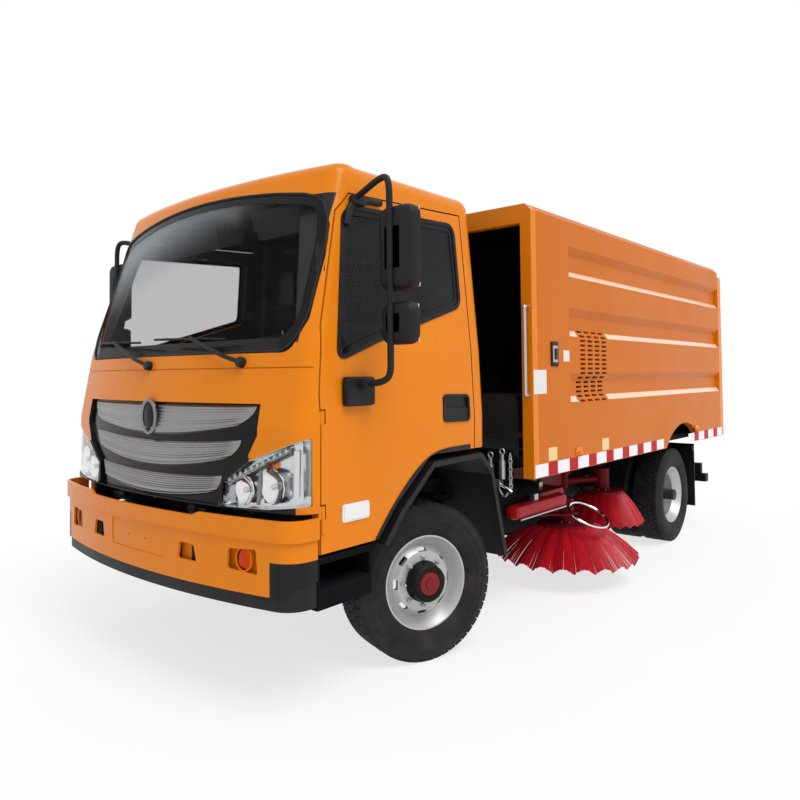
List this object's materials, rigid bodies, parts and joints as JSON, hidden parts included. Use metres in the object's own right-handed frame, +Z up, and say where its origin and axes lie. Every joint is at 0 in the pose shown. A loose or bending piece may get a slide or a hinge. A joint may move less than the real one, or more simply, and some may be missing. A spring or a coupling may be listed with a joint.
{
  "type": "street sweeper truck",
  "caption": "Orange cab-over street sweeper truck with tipping hopper body, swing-out disc brushes, steered front wheels, tilting cab, hinged doors and tailgate",
  "frame": {"origin": "centre of the bounding box on the ground", "axes": "+X forward, +Y to the vehicle's left, +Z up"},
  "size_m": [5.67, 2.58, 2.4819],
  "materials": {
    "black_plastic": "black textured plastic",
    "bristle": "red bristles",
    "cast": "cast iron",
    "chassis_paint": "black chassis paint",
    "glass": "tinted glass",
    "gloss_black": "gloss black",
    "interior": "grey plastic",
    "lamp": "clear lamp",
    "orange_paint": "gloss orange paint",
    "red_paint": "dark red paint",
    "rubber": "black rubber",
    "seat": "grey cloth",
    "silver_trim": "silver",
    "silver_wheel": "silver paint",
    "tyre": "black rubber"
  },
  "bodies": {
    "chassis": {"frame": "chassis_paint", "cab_mounts": "chassis_paint", "front_axle": "cast", "springs": "chassis_paint", "rear_axle": "cast", "engine": "cast", "side_boxes": "black_plastic", "mudguards": "rubber", "sub_frame": "chassis_paint", "aux_engine": "cast", "rear_guard": "chassis_paint", "brush_frame": "red_paint", "suction_nozzle": "red_paint", "bumper": "orange_paint", "bumper_lip": "black_plastic", "fog_lamps": "lamp"},
    "cab": {"cab_front": "orange_paint", "cab_roof": "orange_paint", "cab_rear": "orange_paint", "cab_floor": "interior", "cab_glass": "glass", "grille_panel": "gloss_black", "grille_bars": "silver_trim", "headlamps": "lamp", "dashboard": "interior", "steering_wheel": "interior", "seats": "seat", "roof_box": "black_plastic"},
    "hopper": {"body_side_left": "orange_paint", "body_side_right": "orange_paint", "body_roof": "orange_paint", "body_portal": "orange_paint", "body_floor": "orange_paint"},
    "tailgate": {"tailgate": "orange_paint"},
    "tip_barrels": {"tip_barrels": "chassis_paint"},
    "tip_rods": {"tip_rods": "chassis_paint"},
    "door_left": {"door_left": "orange_paint", "door_glass_left": "glass", "mirror_left": "black_plastic"},
    "knuckle_left": {"knuckle_left": "cast"},
    "front_wheel_left": {"tyre_front_left": "tyre", "rim_front_left": "silver_wheel"},
    "rear_wheels_left": {"tyres_rear_left": "tyre", "rims_rear_left": "silver_wheel"},
    "arm_front_left": {"arm_front_left": "red_paint"},
    "brush_front_left": {"brush_front_left": "bristle"},
    "arm_rear_left": {"arm_rear_left": "red_paint"},
    "brush_rear_left": {"brush_rear_left": "bristle"},
    "door_right": {"door_right": "orange_paint", "door_glass_right": "glass", "mirror_right": "black_plastic"},
    "knuckle_right": {"knuckle_right": "cast"},
    "front_wheel_right": {"tyre_front_right": "tyre", "rim_front_right": "silver_wheel"},
    "rear_wheels_right": {"tyres_rear_right": "tyre", "rims_rear_right": "silver_wheel"},
    "arm_front_right": {"arm_front_right": "red_paint"},
    "brush_front_right": {"brush_front_right": "bristle"},
    "arm_rear_right": {"arm_rear_right": "red_paint"},
    "brush_rear_right": {"brush_rear_right": "bristle"}
  },
  "joints": [
    {"name": "cab_tilt", "type": "hinge", "parent": "chassis", "child": "cab", "pos_m": [2.7, 0, 0.845], "axis": [0, 1, 0], "range_deg": [0, 45]},
    {"name": "door_left", "type": "hinge", "parent": "cab", "child": "door_left", "pos_m": [2.532, 0.984, 1.2], "axis": [0, 0, -1], "range_deg": [0, 70]},
    {"name": "steer_left", "type": "hinge", "parent": "chassis", "child": "knuckle_left", "pos_m": [1.67, 0.74, 0.3985], "axis": [0, 0, 1], "range_deg": [-15, 55]},
    {"name": "spin_front_left", "type": "hinge", "parent": "knuckle_left", "child": "front_wheel_left", "pos_m": [1.70249, 0.82927, 0.3985], "axis": [0.342, 0.9397, 0], "continuous": true},
    {"name": "spin_rear_left", "type": "hinge", "parent": "chassis", "child": "rear_wheels_left", "pos_m": [-1.69, 0.89, 0.3985], "axis": [0, 1, 0], "continuous": true},
    {"name": "swing_front_left", "type": "hinge", "parent": "chassis", "child": "arm_front_left", "pos_m": [0.24, 0.505, 0.47], "axis": [0, 0, -1], "range_deg": [0, 22]},
    {"name": "brush_front_left", "type": "hinge", "parent": "arm_front_left", "child": "brush_front_left", "pos_m": [-0.12, 0.76, 0.37], "axis": [0, 0, 1], "continuous": true},
    {"name": "swing_rear_left", "type": "hinge", "parent": "chassis", "child": "arm_rear_left", "pos_m": [-0.54, 0.535, 0.61], "axis": [0, 0, -1], "range_deg": [0, 12]},
    {"name": "brush_rear_left", "type": "hinge", "parent": "arm_rear_left", "child": "brush_rear_left", "pos_m": [-0.885, 0.7, 0.5], "axis": [0, 0, 1], "continuous": true},
    {"name": "door_right", "type": "hinge", "parent": "cab", "child": "door_right", "pos_m": [2.532, -0.984, 1.2], "axis": [0, 0, 1], "range_deg": [0, 70]},
    {"name": "steer_right", "type": "hinge", "parent": "chassis", "child": "knuckle_right", "pos_m": [1.67, -0.74, 0.3985], "axis": [0, 0, 1], "range_deg": [-15, 55]},
    {"name": "spin_front_right", "type": "hinge", "parent": "knuckle_right", "child": "front_wheel_right", "pos_m": [1.63751, -0.82927, 0.3985], "axis": [0.342, 0.9397, 0], "continuous": true},
    {"name": "spin_rear_right", "type": "hinge", "parent": "chassis", "child": "rear_wheels_right", "pos_m": [-1.69, -0.89, 0.3985], "axis": [0, 1, 0], "continuous": true},
    {"name": "swing_front_right", "type": "hinge", "parent": "chassis", "child": "arm_front_right", "pos_m": [0.24, -0.505, 0.47], "axis": [0, 0, 1], "range_deg": [0, 22]},
    {"name": "brush_front_right", "type": "hinge", "parent": "arm_front_right", "child": "brush_front_right", "pos_m": [-0.12, -0.76, 0.37], "axis": [0, 0, 1], "continuous": true},
    {"name": "swing_rear_right", "type": "hinge", "parent": "chassis", "child": "arm_rear_right", "pos_m": [-0.54, -0.535, 0.61], "axis": [0, 0, 1], "range_deg": [0, 12]},
    {"name": "brush_rear_right", "type": "hinge", "parent": "arm_rear_right", "child": "brush_rear_right", "pos_m": [-0.885, -0.7, 0.5], "axis": [0, 0, 1], "continuous": true},
    {"name": "body_tip", "type": "hinge", "parent": "chassis", "child": "hopper", "pos_m": [-2.485, 0, 0.84], "axis": [0, -1, 0], "range_deg": [0, 45]},
    {"name": "tailgate", "type": "hinge", "parent": "hopper", "child": "tailgate", "pos_m": [-2.785, 0, 2.44], "axis": [0, 1, 0], "range_deg": [0, 90]},
    {"name": "tip_barrel", "type": "hinge", "parent": "chassis", "child": "tip_barrels", "pos_m": [-1.18, 0, 0.61], "axis": [0, -1, 0], "range_deg": [-21.66, 0.01]},
    {"name": "tip_rod", "type": "slide", "parent": "tip_barrels", "child": "tip_rods", "axis": [-0.9388, 0, 0.3445], "range_m": [0, 0.4351]}
  ],
  "couplings": [
    {"joint": "steer_right", "follows": "steer_left", "ratio": 1},
    {"joint": "tip_barrel", "follows": "body_tip", "ratio": -0.48122},
    {"joint": "tip_rod", "follows": "body_tip", "m_per_rad": 0.5534}
  ]
}
